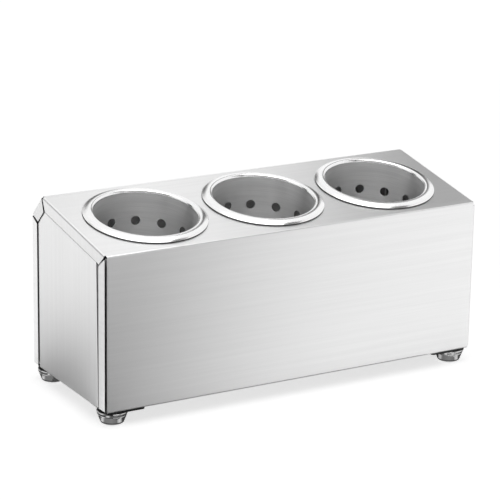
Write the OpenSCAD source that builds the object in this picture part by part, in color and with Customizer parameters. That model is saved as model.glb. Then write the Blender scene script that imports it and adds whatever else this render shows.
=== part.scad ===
// Cutlery cylinder holder: a folded stainless steel housing on four turned feet.
// Three perforated cylinders hang by their rims in its sloping top and lift out.
// Millimetres. The origin is on the surface it stands on, under the middle of the
// housing, with +X along its length, +Y to its rear and +Z up.

/* [Housing] */
// Distance between the centres of neighbouring cylinders
cylinder_pitch = 130.7; // [126:0.1:150]
// Distance from each end of the housing to the nearest cylinder's centre
end_margin = 77.3; // [72:0.1:100]
// Depth of the housing from front to rear
body_d = 160.5; // [156:0.5:200]
// Height of the front panel
front_h = 155; // [150:1:190]
// Slope of the top, rising to the rear, in degrees
top_slope = 9.8; // [6:0.1:13]
// Width and height of the rear chamfer
chamfer = 23.3; // [15:0.1:26]
// Distance of the cylinders' centres from the front edge, along the top
cylinder_set = 69.5; // [66:0.1:74]
// Thickness of the housing's sheet
sheet = 1; // [0.6:0.1:1.5]
// Inside radius of every fold
bend_inside = 1; // [0.5:0.1:2]

/* [Ends] */
// Width of the strips folded in around each end
strip_w = 13; // [9:0.5:20]
// Gap left open at each strip's mitre, along the strip
mitre_gap = 0.4; // [0.2:0.1:1]
// Gap between each end plate and the folds around it
plate_gap = 0.3; // [0.1:0.1:0.6]
// Reach of the bottom returns, from the outer faces
return_w = 8; // [6:0.1:8.4]

/* [Cylinders] */
// Outer diameter of the rim
rim_d = 122; // [114:0.5:125]
// Diameter of the rim's crest
crest_d = 107; // [105.5:0.5:110]
// Height of the crest over the top
rim_h = 4.2; // [2.5:0.1:6]
// Inside diameter under the rim
cup_d = 101; // [98:0.5:102.5]
// Inside diameter at the floor
cup_floor_d = 97.4; // [88:0.2:100]
// Height of a cylinder from crest to floor
cup_h = 137; // [110:1:150]
// Inside radius between wall and floor
cup_corner = 6; // [2:0.5:12]
// Thickness of the cylinder's sheet
cup_wall = 0.8; // [0.5:0.1:1.2]
// Radial gap between a cylinder and its hole in the top
hole_gap = 1; // [0.4:0.1:2]
// Gap under the rim where it rests on the top
rest_gap = 0.1; // [0.05:0.05:0.3]

/* [Perforation] */
// Diameter of the drain holes
perf_d = 9.5; // [5:0.5:12]
// Drain holes in one row round the wall
perf_columns = 12; // [6:1:16]
// Rows of drain holes in the wall
perf_rows = 5; // [2:1:5]
// Depth of the first row under the top
perf_first = 28.5; // [20:0.5:34]
// Turn of the drain holes about the cylinder's axis, in degrees
perf_turn = -3.5; // [-15:0.5:15]
// Distance between rows
perf_pitch = 20; // [14:0.5:21]
// Drain holes in the ring on the floor
floor_holes = 6; // [3:1:10]
// Diameter of the ring of holes on the floor
floor_ring_d = 54; // [44:1:70]

/* [Feet] */
// Distance of each foot's axis from the housing's outer faces
foot_inset = 14.6; // [14.5:0.1:20]
// Height of a foot with its pad
foot_h = 13.4; // [11:0.1:20]
// Diameter of a foot at its top
foot_top_d = 31.4; // [26:0.2:34]
// Diameter of a foot where its taper meets the bottom
foot_bottom_d = 21.6; // [21:0.1:26]
// Radius round the top of a foot
foot_top_round = 1; // [0.4:0.1:2]
// Radius round the bottom of a foot
foot_bottom_round = 2.3; // [1:0.1:2.5]
// Depth of the turned groove
groove_depth = 0.4; // [0.2:0.1:0.8]
// Width of the turned groove
groove_w = 1.2; // [0.6:0.1:2]
// Distance of the groove's middle below the foot's top
groove_drop = 3.6; // [2.6:0.1:4.6]
// Thickness of the metal that the screw clamps
foot_web = 4.5; // [3:0.1:5]
// Diameter of the rubber pad
pad_d = 17; // [14.5:0.1:17]
// Depth of the pad's seat in the foot
pad_seat = 2; // [1:0.1:2.2]
// Reach of the pad below the foot's metal
pad_reach = 0.6; // [0.3:0.1:1]
// Radial gap between the pad and its seat
pad_gap = 0.1; // [0.05:0.05:0.2]
// Length of each side of a foot plate
plate_w = 42; // [30:0.5:48]
// Thickness of a foot plate
plate_t = 2; // [1.5:0.1:3]
// Distance of a foot plate from the housing's outer faces
plate_inset = 1.5; // [1:0.1:3]

/* [Fasteners] */
// Diameter of the foot screws
screw_d = 6; // [4:0.5:6]
// Diameter of the screw heads
head_d = 11; // [9:0.1:12]
// Height of the screw heads
head_h = 4; // [2.5:0.1:4.5]
// Radial room round the screw heads
head_room = 1; // [0.5:0.1:1.5]
// Width of the nuts across their flats
nut_flats = 10; // [8:0.1:10]
// Height of the nuts
nut_h = 5; // [3:0.1:6]
// Diameter of the washers
washer_d = 12; // [11:0.1:12]
// Thickness of the washers
washer_t = 1.2; // [0.8:0.1:1.6]
// Length of thread that shows past the nut
thread_end = 1.5; // [0.5:0.1:3]
// Radial gap round the thread in the nuts
thread_gap = 0.1; // [0.05:0.05:0.15]
// Radial gap round the screws in the plates, washers and feet
screw_gap = 0.3; // [0.2:0.05:0.5]

/* [Hidden] */
$fn = 64;

// Flat stretches in which each arc is drawn
arc_steps = 8;
// Overshoot of cutting shapes past the faces that they cut
cut = 1;
// Depth under a panel's faces at which a strip's fold is rooted in its edge
root_in = sheet / 4;

body_l = 2 * (cylinder_pitch + end_margin);
body_z = foot_h + plate_t;
bend_r = bend_inside + sheet;
apex_y = body_d - chamfer;
apex_z = front_h + apex_y * tan(top_slope);
rear_h = apex_z - chamfer;
// Outer corners of the housing's side view, from the front's foot to the rear's
corners = [[0, 0], [0, front_h], [apex_y, apex_z], [body_d, rear_h], [body_d, 0]];
last_panel = len(corners) - 2;

cup_r = cup_d / 2;
crest_r = crest_d / 2;
flare_r = crest_r - cup_r;
flange_w = (rim_d - crest_d) / 2;
flange_r = (flange_w * flange_w + rim_h * rim_h) / (2 * rim_h);
cup_floor_r = cup_floor_d / 2;
floor_z = rim_h - cup_h + cup_wall;
hole_r = cup_r + cup_wall + hole_gap;

metal_h = foot_h - pad_reach;
seat_r = pad_d / 2 + pad_gap;
shank_l = foot_web + plate_t + washer_t + nut_h + thread_end;

function reversed(list) = [for (i = [len(list) - 1:-1:0]) list[i]];

// Points of an arc about centre c, between two angles
function arc(c, r, from, to) = [
    for (k = [0:arc_steps])
        let (a = from + (to - from) * k / arc_steps)
            c + r * [cos(a), sin(a)]
];

function along(a, b) = (b - a) / norm(b - a);

// Unit vector to the right of the way from a to b, which is into the housing
function inward(a, b) =
    let (d = along(a, b))
        [d[1], -d[0]];

// Point that lies inside both lines meeting at p, by the same distance
function inset(before, p, after, distance) =
    let (m = inward(before, p), n = inward(p, after))
        p + distance * (m + n) / (1 + m * n);

// Arc of radius r that rounds the corner p, about the centre of a fold of radius fold_r
function fold_arc(before, p, after, fold_r, r) =
    let (m = inward(before, p), n = inward(p, after), start = atan2(-m[1], -m[0]))
        arc(inset(before, p, after, fold_r), r, start, start - acos(m * n));

// One face of a folded sheet, at a depth below its outer face
function sheet_face(path, depth) =
    let (end = len(path) - 1)
        concat(
            [path[0] + depth * inward(path[0], path[1])],
            [for (i = [1:end - 1])
                each fold_arc(path[i - 1], path[i], path[i + 1], bend_r, bend_r - depth)],
            [path[end] + depth * inward(path[end - 1], path[end])]
        );

// Draws a side view, given in Y and Z, and extends it along X from x
module along_x(x, length)
    translate([x, 0, 0])
        rotate([90, 0, 90])
            linear_extrude(length)
                children();

// Moves a shape from the housing's front bottom edge to its place on the feet
module on_feet()
    translate([0, -body_d / 2, body_z])
        children();

// Front, top, chamfer and rear in one sheet, with the returns along the bottom
module bent_panels() {
    path = concat([[return_w, 0]], corners, [[body_d - return_w, 0]]);
    along_x(-body_l / 2 + bend_r, body_l - 2 * bend_r)
        polygon(concat(sheet_face(path, 0), reversed(sheet_face(path, sheet))));
}

// Ends of a panel's strip at a depth: mitred at the corners, square at the bottom
function strip_start(i, depth) =
    i == 0
        ? corners[0] + depth * inward(corners[0], corners[1])
        : inset(corners[i - 1], corners[i], corners[i + 1], depth)
            + mitre_gap * along(corners[i], corners[i + 1]);
function strip_finish(i, depth) =
    i == last_panel
        ? corners[i + 1] + depth * inward(corners[i], corners[i + 1])
        : inset(corners[i], corners[i + 1], corners[i + 2], depth)
            - mitre_gap * along(corners[i], corners[i + 1]);

// Strip of panel i at the left end, with the fold that roots it in the panel's edge
module end_strip(i) {
    way = along(corners[i], corners[i + 1]);
    face = inward(corners[i], corners[i + 1]);
    first = (strip_start(i, bend_r) - corners[i]) * way;
    last = (strip_finish(i, bend_r) - corners[i]) * way;
    first_tip = (strip_start(i, strip_w) - corners[i]) * way;
    last_tip = (strip_finish(i, strip_w) - corners[i]) * way;
    edge = -body_l / 2;
    centre = [edge + bend_r, bend_r];
    translate([0, corners[i][0], corners[i][1]])
        rotate([atan2(face[1], face[0]), 0, 0])
            intersection() {
                translate([0, 0, first])
                    linear_extrude(last - first)
                        polygon(concat(
                            [[edge + sheet, strip_w], [edge, strip_w]],
                            arc(centre, bend_r, 180, 270),
                            [
                                centre + [0, -bend_r + root_in], centre + [sheet, -bend_r + root_in],
                                centre + [sheet, -bend_inside - root_in], centre + [0, -bend_inside - root_in]
                            ],
                            reversed(arc(centre, bend_inside, 180, 270))
                        ));
                along_x(edge - cut, sheet + bend_r + 2 * cut)
                    polygon([
                        [-cut, first], [bend_r, first], [strip_w, first_tip],
                        [strip_w, last_tip], [bend_r, last], [-cut, last]
                    ]);
            }
}

module end_strips()
    for (i = [0:last_panel])
        end_strip(i);

// Places a shape on the sloping top, at the axis of cylinder i
module on_top(i)
    on_feet()
        translate([(i - 1) * cylinder_pitch, 0, front_h])
            rotate([top_slope, 0, 0])
                translate([0, cylinder_set, 0])
                    children();

module housing()
    color("gainsboro")
        difference() {
            on_feet() {
                bent_panels();
                end_strips();
                mirror([1, 0, 0])
                    end_strips();
            }
            for (i = [0:2])
                on_top(i)
                    translate([0, 0, -sheet - cut])
                        cylinder(r = hole_r, h = sheet + 2 * cut);
        }

// Flat plate behind the left strips, with a return along its bottom edge
module end_plate() {
    edge = bend_r + plate_gap;
    tab = return_w + plate_gap;
    face_x = -body_l / 2 + sheet;
    centre = [face_x + bend_r, bend_r];
    along_x(face_x, sheet)
        polygon(concat(
            [[edge, edge]],
            [for (i = [1:last_panel]) inset(corners[i - 1], corners[i], corners[i + 1], edge)],
            [
                [body_d - edge, edge], [body_d - tab, edge], [body_d - tab, bend_r],
                [tab, bend_r], [tab, edge]
            ]
        ));
    translate([0, body_d - tab, 0])
        rotate([90, 0, 0])
            linear_extrude(body_d - 2 * tab) {
                polygon(concat(
                    arc(centre, bend_r, 180, 270),
                    reversed(arc(centre, bend_inside, 180, 270))
                ));
                translate([centre[0], 0])
                    square([return_w - sheet - bend_r, sheet]);
            }
}

module left_end_plate()
    color("lightgray")
        on_feet()
            end_plate();

module right_end_plate()
    color("lightgray")
        on_feet()
            mirror([1, 0, 0])
                end_plate();

// Places a shape at a foot's axis: 0 front left, 1 front right, 2 rear right, 3 rear left
module at_foot(i) {
    x = body_l / 2 - foot_inset;
    y = body_d / 2 - foot_inset;
    places = [[-x, -y], [x, -y], [x, y], [-x, y]];
    translate(concat(places[i], [0]))
        rotate([0, 0, 90 * i])
            children();
}

// Square plate under the returns of one corner, drilled for the foot's screw
module foot_plate()
    color("darkgray")
        difference() {
            translate([plate_inset - foot_inset, plate_inset - foot_inset, foot_h])
                cube([plate_w, plate_w, plate_t]);
            translate([0, 0, foot_h - cut])
                cylinder(d = screw_d + 2 * screw_gap, h = plate_t + 2 * cut);
        }

module front_left_foot_plate() at_foot(0) foot_plate();
module front_right_foot_plate() at_foot(1) foot_plate();
module rear_right_foot_plate() at_foot(2) foot_plate();
module rear_left_foot_plate() at_foot(3) foot_plate();

// Turned and polished foot: tapered, grooved, hollow below for the screw and the pad
module foot() {
    top = foot_h;
    bottom = pad_reach;
    rim = [foot_top_d / 2, top];
    toe = [foot_bottom_d / 2, bottom];
    groove_r = rim[0] - (rim[0] - toe[0]) * groove_drop / metal_h;
    color("silver")
        difference() {
            rotate_extrude()
                polygon(concat(
                    [[0, top]],
                    fold_arc([0, top], rim, toe, foot_top_round, foot_top_round),
                    fold_arc(rim, toe, [0, bottom], foot_bottom_round, foot_bottom_round),
                    [[0, bottom]]
                ));
            translate([0, 0, top - groove_drop - groove_w / 2])
                difference() {
                    cylinder(r = foot_top_d, h = groove_w);
                    translate([0, 0, -cut])
                        cylinder(r = groove_r - groove_depth, h = groove_w + 2 * cut);
                }
            translate([0, 0, bottom - cut])
                cylinder(r = seat_r, h = pad_seat + cut);
            translate([0, 0, bottom])
                cylinder(r = head_d / 2 + head_room, h = metal_h - foot_web);
            cylinder(d = screw_d + 2 * screw_gap, h = top + cut);
        }
}

module front_left_foot() at_foot(0) foot();
module front_right_foot() at_foot(1) foot();
module rear_right_foot() at_foot(2) foot();
module rear_left_foot() at_foot(3) foot();

// Rubber pad pressed into the foot's seat
module foot_pad()
    color("dimgray")
        cylinder(d = pad_d, h = pad_reach + pad_seat);

module front_left_foot_pad() at_foot(0) foot_pad();
module front_right_foot_pad() at_foot(1) foot_pad();
module rear_right_foot_pad() at_foot(2) foot_pad();
module rear_left_foot_pad() at_foot(3) foot_pad();

// Screws that clamp each foot to its plate from below
module foot_screws()
    color("slategray")
        for (i = [0:3])
            at_foot(i)
                translate([0, 0, foot_h - foot_web]) {
                    cylinder(d = screw_d, h = shank_l);
                    translate([0, 0, -head_h])
                        cylinder(d = head_d, h = head_h);
                }

module foot_washers()
    color("lightslategray")
        for (i = [0:3])
            at_foot(i)
                translate([0, 0, body_z])
                    difference() {
                        cylinder(d = washer_d, h = washer_t);
                        translate([0, 0, -cut])
                            cylinder(d = screw_d + 2 * screw_gap, h = washer_t + 2 * cut);
                    }

module foot_nuts()
    color("slategray")
        for (i = [0:3])
            at_foot(i)
                translate([0, 0, body_z + washer_t])
                    difference() {
                        cylinder(d = nut_flats / cos(30), h = nut_h, $fn = 6);
                        translate([0, 0, -cut])
                            cylinder(d = screw_d + 2 * thread_gap, h = nut_h + 2 * cut);
                    }

// One face of the cylinder's sheet, from the rim's edge over the crest to the floor's centre
function cup_face(depth) =
    let (
        flange_c = [crest_r, rim_h - flange_r],
        flare_c = [crest_r, rim_h - flare_r],
        corner_c = [cup_floor_r - cup_corner, floor_z + cup_corner],
        edge = asin((flange_r - rim_h) / (flange_r - depth))
    )
        concat(
            arc(flange_c, flange_r - depth, edge, 90),
            arc(flare_c, flare_r - depth, 90 + 90 / arc_steps, 180),
            arc(corner_c, cup_corner + depth, 0, -90),
            [[0, floor_z - depth]]
        );

// Drain holes: staggered rows round the wall, one hole and a ring of holes in the floor
module drain_holes() {
    inside_r = min(cup_r, cup_floor_r) - cup_corner;
    outside_r = max(cup_r, cup_floor_r) + cup_wall + cut;
    for (row = [0:perf_rows - 1])
        for (column = [0:perf_columns - 1])
            rotate([0, 0, perf_turn + 360 / perf_columns * (column + (row + 1) / 2)])
                translate([inside_r, 0, -perf_first - perf_pitch * row])
                    rotate([0, 90, 0])
                        cylinder(d = perf_d, h = outside_r - inside_r);
    translate([0, 0, floor_z - cup_wall - cut]) {
        cylinder(d = perf_d, h = cup_wall + 2 * cut);
        for (k = [0:floor_holes - 1])
            rotate([0, 0, 360 / floor_holes * k])
                translate([floor_ring_d / 2, 0, 0])
                    cylinder(d = perf_d, h = cup_wall + 2 * cut);
    }
}

// Perforated cylinder, drawn from one sheet with its rolled rim
module cutlery_cylinder()
    color("whitesmoke")
        translate([0, 0, rest_gap])
            difference() {
                rotate_extrude()
                    polygon(concat(cup_face(0), reversed(cup_face(cup_wall))));
                drain_holes();
            }

module left_cylinder() on_top(0) cutlery_cylinder();
module middle_cylinder() on_top(1) cutlery_cylinder();
module right_cylinder() on_top(2) cutlery_cylinder();

housing();
left_end_plate();
right_end_plate();
front_left_foot_plate();
front_right_foot_plate();
rear_right_foot_plate();
rear_left_foot_plate();
front_left_foot();
front_right_foot();
rear_right_foot();
rear_left_foot();
front_left_foot_pad();
front_right_foot_pad();
rear_right_foot_pad();
rear_left_foot_pad();
foot_screws();
foot_washers();
foot_nuts();
left_cylinder();
middle_cylinder();
right_cylinder();
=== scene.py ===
import math
import bmesh
import bpy
from mathutils import Matrix, Vector


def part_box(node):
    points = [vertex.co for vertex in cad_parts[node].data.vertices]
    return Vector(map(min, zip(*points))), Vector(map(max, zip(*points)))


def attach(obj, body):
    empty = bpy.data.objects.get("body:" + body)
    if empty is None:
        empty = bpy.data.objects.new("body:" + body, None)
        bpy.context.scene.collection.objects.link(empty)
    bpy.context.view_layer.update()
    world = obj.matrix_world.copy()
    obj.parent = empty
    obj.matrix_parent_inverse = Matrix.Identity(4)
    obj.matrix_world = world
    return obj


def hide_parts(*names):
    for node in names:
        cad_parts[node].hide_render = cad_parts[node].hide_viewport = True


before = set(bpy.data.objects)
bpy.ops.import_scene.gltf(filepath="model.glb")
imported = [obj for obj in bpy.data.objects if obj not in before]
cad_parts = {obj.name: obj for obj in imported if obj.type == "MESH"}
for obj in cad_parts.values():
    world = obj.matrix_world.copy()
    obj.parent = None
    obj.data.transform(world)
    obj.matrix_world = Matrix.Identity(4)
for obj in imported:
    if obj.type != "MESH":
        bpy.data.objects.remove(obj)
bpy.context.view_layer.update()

# Housing
# One stainless sheet, 1 mm thick, folded into front, sloping top, rear chamfer and rear, with returns along
# the bottom. Round holes are punched in the top. Strips folded in around both ends meet in open mitres.
mm = 0.001
housing_low, housing_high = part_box("housing")
half_l = housing_high.x
front_h = 155 * mm
top_slope = math.radians(9.8)
chamfer = 23.3 * mm
sheet = 1 * mm
bend = 2 * mm
strip_w = 13 * mm
mitre_gap = 1.4 * mm
# Angle by which each strip springs back from a square fold: front, top, chamfer and rear
spring_back = [math.radians(angle) for angle in (3, -3, 0, 3)]
return_w = 8 * mm
cylinder_pitch = 130.7 * mm
cylinder_set = 69.5 * mm
top_hole_d = 104.6 * mm
fold_steps = 10
hole_sides = 96
steel_tones = ("#EDEDED", "#F1F1F1")
edge_tones = ("#353535", "#434343")


def linear(code):
    """Linear colour of an sRGB hex value."""
    parts = [int(code[i:i + 2], 16) / 255 for i in (1, 3, 5)]
    return [p / 12.92 if p <= 0.04045 else ((p + 0.055) / 1.055) ** 2.4 for p in parts] + [1.0]


def add_node(tree, kind, inputs=None, **settings):
    """Adds a node with its settings; an input given as a socket is linked, and any other value is set."""
    node = tree.nodes.new(kind)
    for name, value in settings.items():
        setattr(node, name, value)
    for name, value in (inputs or {}).items():
        if isinstance(value, bpy.types.NodeSocket):
            tree.links.new(value, node.inputs[name])
        else:
            node.inputs[name].default_value = value
    return node


def new_material(name):
    """Empty node material, and its tree."""
    material = bpy.data.materials.new(name)
    material.use_nodes = True
    material.node_tree.nodes.clear()
    return material, material.node_tree


def finish_surface(material, tree, tones, tone, height, glosses, relief, depth, surface):
    """Gives a material its colour and gloss from one pattern, and its relief from a pattern of height."""
    # The Mix node's colours are its inputs 6 and 7, and its output 2
    colour = add_node(tree, "ShaderNodeMix", {
        0: tone, 6: linear(tones[0]), 7: linear(tones[1]),
    }, data_type="RGBA")
    gloss = add_node(tree, "ShaderNodeMapRange", {
        "Value": tone, "To Min": glosses[0], "To Max": glosses[1],
    })
    bump = add_node(tree, "ShaderNodeBump", {"Height": height, "Strength": relief, "Distance": depth})
    shader = add_node(tree, "ShaderNodeBsdfPrincipled", {
        "Base Color": colour.outputs[2], "Roughness": gloss.outputs["Result"],
        "Normal": bump.outputs["Normal"], **surface,
    })
    add_node(tree, "ShaderNodeOutputMaterial", {"Surface": shader.outputs["BSDF"]})
    return material


def grained_steel(name, tones, grain_l, grain_w, glosses, stretch, relief=0.12, depth=0.02 * mm):
    """Stainless steel with straight grain along the U of its sheet map.

    The abrasive belt leaves fine scratches, so reflections smear across the grain, and neighbouring
    scratches differ a little in gloss and tone. Real scratches are under 0.1 mm wide: they are drawn
    about ten times as coarse, so that they show.
    """
    material, tree = new_material(name)
    sheet_map = add_node(tree, "ShaderNodeUVMap", uv_map="sheet").outputs["UV"]
    fine = add_node(tree, "ShaderNodeMapping", {
        "Vector": sheet_map, "Scale": (1 / grain_l, 1 / grain_w, 1),
    })
    grain = add_node(tree, "ShaderNodeTexNoise", {
        "Vector": fine.outputs["Vector"], "Scale": 1.0, "Detail": 3.0, "Roughness": 0.6,
    }, noise_dimensions="2D").outputs["Fac"]
    # Bands about three times as long and five times as wide as the grain lie under it
    wide = add_node(tree, "ShaderNodeMapping", {
        "Vector": sheet_map, "Scale": (0.3 / grain_l, 0.2 / grain_w, 1), "Location": (3, 7, 0),
    })
    bands = add_node(tree, "ShaderNodeTexNoise", {
        "Vector": wide.outputs["Vector"], "Scale": 1.0, "Detail": 2.0, "Roughness": 0.5,
    }, noise_dimensions="2D").outputs["Fac"]
    tone = add_node(tree, "ShaderNodeMath", {0: grain, 1: bands}, operation="ADD").outputs["Value"]
    tone = add_node(tree, "ShaderNodeMapRange", {
        "Value": tone, "From Min": 0.7, "From Max": 1.3,
    }).outputs["Result"]
    tangent = add_node(tree, "ShaderNodeTangent", direction_type="UV_MAP", uv_map="sheet")
    # A quarter turn makes reflections smear across the grain
    surface = {
        "Metallic": 1.0, "Anisotropic": stretch, "Anisotropic Rotation": 0.25,
        "Tangent": tangent.outputs["Tangent"],
    }
    return finish_surface(material, tree, tones, tone, grain, glosses, relief, depth, surface)


def mottled(name, tones, speck, detail, glosses, relief, depth, turned=False, **surface):
    """Material whose tone, gloss and relief follow one pattern of specks, of a given size along each axis.

    The pattern lies in the piece's own space, or round and along the profile of a turned piece.
    """
    material, tree = new_material(name)
    if turned:
        place = add_node(tree, "ShaderNodeUVMap", uv_map="sheet").outputs["UV"]
    else:
        place = add_node(tree, "ShaderNodeTexCoord").outputs["Object"]
    scale = [1 / size for size in speck]
    stretched = add_node(tree, "ShaderNodeMapping", {"Vector": place, "Scale": scale}).outputs["Vector"]
    specks = add_node(tree, "ShaderNodeTexNoise", {
        "Vector": stretched, "Scale": 1.0, "Detail": detail,
    }).outputs["Fac"]
    return finish_surface(material, tree, tones, specks, specks, glosses, relief, depth, surface)


# Brushed steel reflects softly, with long fine streaks along the sheet
brushed_steel = grained_steel("brushed stainless steel", steel_tones, grain_l=90 * mm, grain_w=0.8 * mm,
                              glosses=(0.335, 0.305), stretch=0.65)
# A sheared edge is torn and matt, and looks dark between two bright faces; the cylinders also take it under
# their rolls as painted shade
cut_edge_and_shade = mottled("sheared stainless edge", edge_tones, speck=[0.6 * mm] * 3, detail=2.0,
                   glosses=(0.45, 0.7), relief=0.4, depth=0.05 * mm, Metallic=1.0)


def inward(a, b):
    """Unit vector to the right of the way from a to b, which is into the housing."""
    way = (b - a).normalized()
    return Vector((way.y, -way.x))


def inset(before, corner, after, depth):
    """Point that lies inside both lines meeting at a corner, by the same depth."""
    first, second = inward(before, corner), inward(corner, after)
    return corner + depth * (first + second) / (1 + first.dot(second))


def fold_points(before, corner, after, radius):
    """Points of the arc that rounds a corner of a side view."""
    first, second = inward(before, corner), inward(corner, after)
    centre = inset(before, corner, after, radius)
    swing = first.angle(second) / fold_steps
    return [centre + Matrix.Rotation(-swing * k, 2) @ (-radius * first) for k in range(fold_steps + 1)]


def fill_flat(mesh, loops, normal):
    """Fills a flat outline, its outer loop and the loops of its holes, with faces along a normal."""
    edges = []
    for loop in loops:
        for a, b in zip(loop, loop[1:] + loop[:1]):
            edges.append(mesh.edges.get((a, b)) or mesh.edges.new((a, b)))
    made = bmesh.ops.triangle_fill(mesh, use_beauty=True, use_dissolve=False, edges=edges, normal=normal)
    for face in made["geom"]:
        if isinstance(face, bmesh.types.BMFace):
            face.normal_update()
            if face.normal.dot(normal) < 0:
                face.normal_flip()


def settle(piece):
    """Turns a piece and its modifiers into a plain mesh."""
    graph = bpy.context.evaluated_depsgraph_get()
    finished = piece.evaluated_get(graph)
    mesh = bpy.data.meshes.new_from_object(finished, preserve_all_data_layers=True, depsgraph=graph)
    piece.modifiers.clear()
    piece.data = mesh
    mesh.name = piece.name


def new_piece(name, mesh, *materials):
    """Object with the faces of a bmesh and its materials."""
    data = bpy.data.meshes.new(name)
    mesh.to_mesh(data)
    mesh.free()
    for material in materials:
        data.materials.append(material)
    piece = bpy.data.objects.new(name, data)
    bpy.context.scene.collection.objects.link(piece)
    return piece


def thicken(piece, thickness):
    """Gives a sheet its thickness behind its face; a cut edge takes the material after its face's own."""
    wall = piece.modifiers.new("thickness", "SOLIDIFY")
    wall.thickness = thickness
    wall.offset = -1
    wall.use_even_offset = True
    wall.use_quality_normals = True
    wall.material_offset_rim = 1
    settle(piece)


def shade(piece, crease=30):
    """Smooth shading that keeps flat faces flat and breaks at creases."""
    for polygon in piece.data.polygons:
        polygon.use_smooth = True
    piece.data.set_sharp_from_angle(angle=math.radians(crease))
    weighted = piece.modifiers.new("flat faces", "WEIGHTED_NORMAL")
    weighted.keep_sharp = True
    weighted.weight = 100
    settle(piece)


def lengths_along(points):
    """Length of a path from its start to each of its points."""
    lengths = [0.0]
    for a, b in zip(points, points[1:]):
        lengths.append(lengths[-1] + (b - a).length)
    return lengths


def map_sheet(mesh, places):
    """Writes each vertex's place on the unfolded sheet to the sheet map."""
    layer = mesh.loops.layers.uv.new("sheet")
    for face in mesh.faces:
        for loop in face.loops:
            loop[layer].uv = places[loop.vert]


apex_y = housing_high.y - chamfer
front_top = housing_low.z + front_h
apex_z = front_top + (apex_y - housing_low.y) * math.tan(top_slope)
side_view = [
    Vector((housing_low.y, housing_low.z)),
    Vector((housing_low.y, front_top)),
    Vector((apex_y, apex_z)),
    Vector((housing_high.y, apex_z - chamfer)),
    Vector((housing_high.y, housing_low.z)),
]
up_slope = (side_view[2] - side_view[1]).normalized()
top_normal = Vector((0, -up_slope.y, up_slope.x))
mouth_y, mouth_z = side_view[1] + cylinder_set * up_slope
cylinder_x = [k * cylinder_pitch for k in (-1, 0, 1)]


def folded_housing():
    """The folded sheet's outer face as a mesh, with each vertex's place on the unfolded sheet."""
    mesh = bmesh.new()
    places = {}
    web_x = half_l - bend
    path = [side_view[0] + Vector((return_w, 0)), *side_view, side_view[-1] - Vector((return_w, 0))]
    # The side view with rounded folds, and the stretch of it along which each strip is folded in
    profile, strip_spans = [path[0]], []
    for before, corner, after in zip(path, path[1:], path[2:]):
        arc = fold_points(before, corner, after, bend)
        mitred = corner.y > housing_low.z
        if len(profile) > 1:
            if mitred:
                profile.append(arc[0] - mitre_gap * (corner - before).normalized())
            strip_spans[-1].append(len(profile) - (1 if mitred else 0))
        profile += arc
        if mitred:
            profile.append(arc[-1] + mitre_gap * (after - corner).normalized())
        strip_spans.append([len(profile) - 1])
    strip_spans.pop()
    profile.append(path[-1])
    lengths = lengths_along(profile)
    rows = []
    for point, length in zip(profile, lengths):
        row = [mesh.verts.new((x, *point)) for x in (-web_x, web_x)]
        for vertex in row:
            places[vertex] = (vertex.co.x, length)
        rows.append(row)
    # The top is left out here, and filled round its holes below
    top_row = strip_spans[1][0]
    for k in range(len(rows) - 1):
        if k != top_row:
            mesh.faces.new((rows[k][0], rows[k][1], rows[k + 1][1], rows[k + 1][0]))
    loops = [[rows[top_row][0], rows[top_row][1], rows[top_row + 1][1], rows[top_row + 1][0]]]
    for x in cylinder_x:
        loop = []
        for k in range(hole_sides):
            turn = 2 * math.pi * k / hole_sides
            along = cylinder_set + top_hole_d / 2 * math.sin(turn)
            y, z = side_view[1] + along * up_slope
            loop.append(mesh.verts.new((x + top_hole_d / 2 * math.cos(turn), y, z)))
            offset = along - (profile[top_row] - side_view[1]).length
            places[loop[-1]] = (loop[-1].co.x, lengths[top_row] + offset)
        loops.append(loop)
    fill_flat(mesh, loops, top_normal)
    for side in (-1, 1):
        for panel, (first, last) in enumerate(strip_spans):
            fold_strip(mesh, places, side, panel, rows, profile, lengths, first, last)
    map_sheet(mesh, places)
    return mesh


def fold_strip(mesh, places, side, panel, rows, profile, lengths, first, last):
    """Strip along one panel's end, folded in from the panel's edge and cut to its mitres."""
    start, finish = side_view[panel], side_view[panel + 1]
    way = (finish - start).normalized()
    face = inward(start, finish)
    span = [(profile[k] - start).dot(way) for k in (first, last)]
    tips = list(span)
    if panel > 0:
        tips[0] = (inset(side_view[panel - 1], start, finish, strip_w) - start).dot(way) + mitre_gap
    if panel < len(side_view) - 2:
        tips[1] = (inset(start, finish, side_view[panel + 2], strip_w) - start).dot(way) - mitre_gap
    edge = [rows[k][0 if side < 0 else 1] for k in (first, last)]
    for k in range(1, fold_steps + 2):
        turn = (math.pi / 2 - spring_back[panel]) * min(k, fold_steps) / fold_steps
        flat = 0 if k <= fold_steps else strip_w - bend
        x = half_l - bend + bend * math.sin(turn) + flat * math.cos(turn)
        depth = bend * (1 - math.cos(turn)) + flat * math.sin(turn)
        reach = half_l - bend + bend * turn + flat
        ends = span if k <= fold_steps else tips
        row = []
        for along in ends:
            y, z = start + along * way + depth * face
            row.append(mesh.verts.new((side * x, y, z)))
            places[row[-1]] = (side * reach, lengths[first] + along - span[0])
        corners = (row[0], edge[0], edge[1], row[1])
        mesh.faces.new(corners if side < 0 else corners[::-1])
        edge = row


housing = new_piece("folded_housing", folded_housing(), brushed_steel, cut_edge_and_shade)
thicken(housing, sheet)
shade(housing)
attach(housing, "holder")
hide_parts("housing")

# End plates
# Pressed stainless plates with upright grain, spot-welded behind the strips at both ends. A raised field
# with a rounded edge fills the opening between the strips but for a gap, and is folded in along the bottom.
plate_gap = 0.3 * mm
plate_edge = bend + plate_gap
# Gaps from the field to the strips of the front, top, chamfer and rear; the front one narrows to the bottom
field_gaps = (6.2 * mm, 0.3 * mm, 1.7 * mm, 2.0 * mm)
field_bottom_gap = 2.8 * mm
field_drop = 0.1 * mm
field_round = 0.6 * mm
flange_drop = 3 * mm


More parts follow.
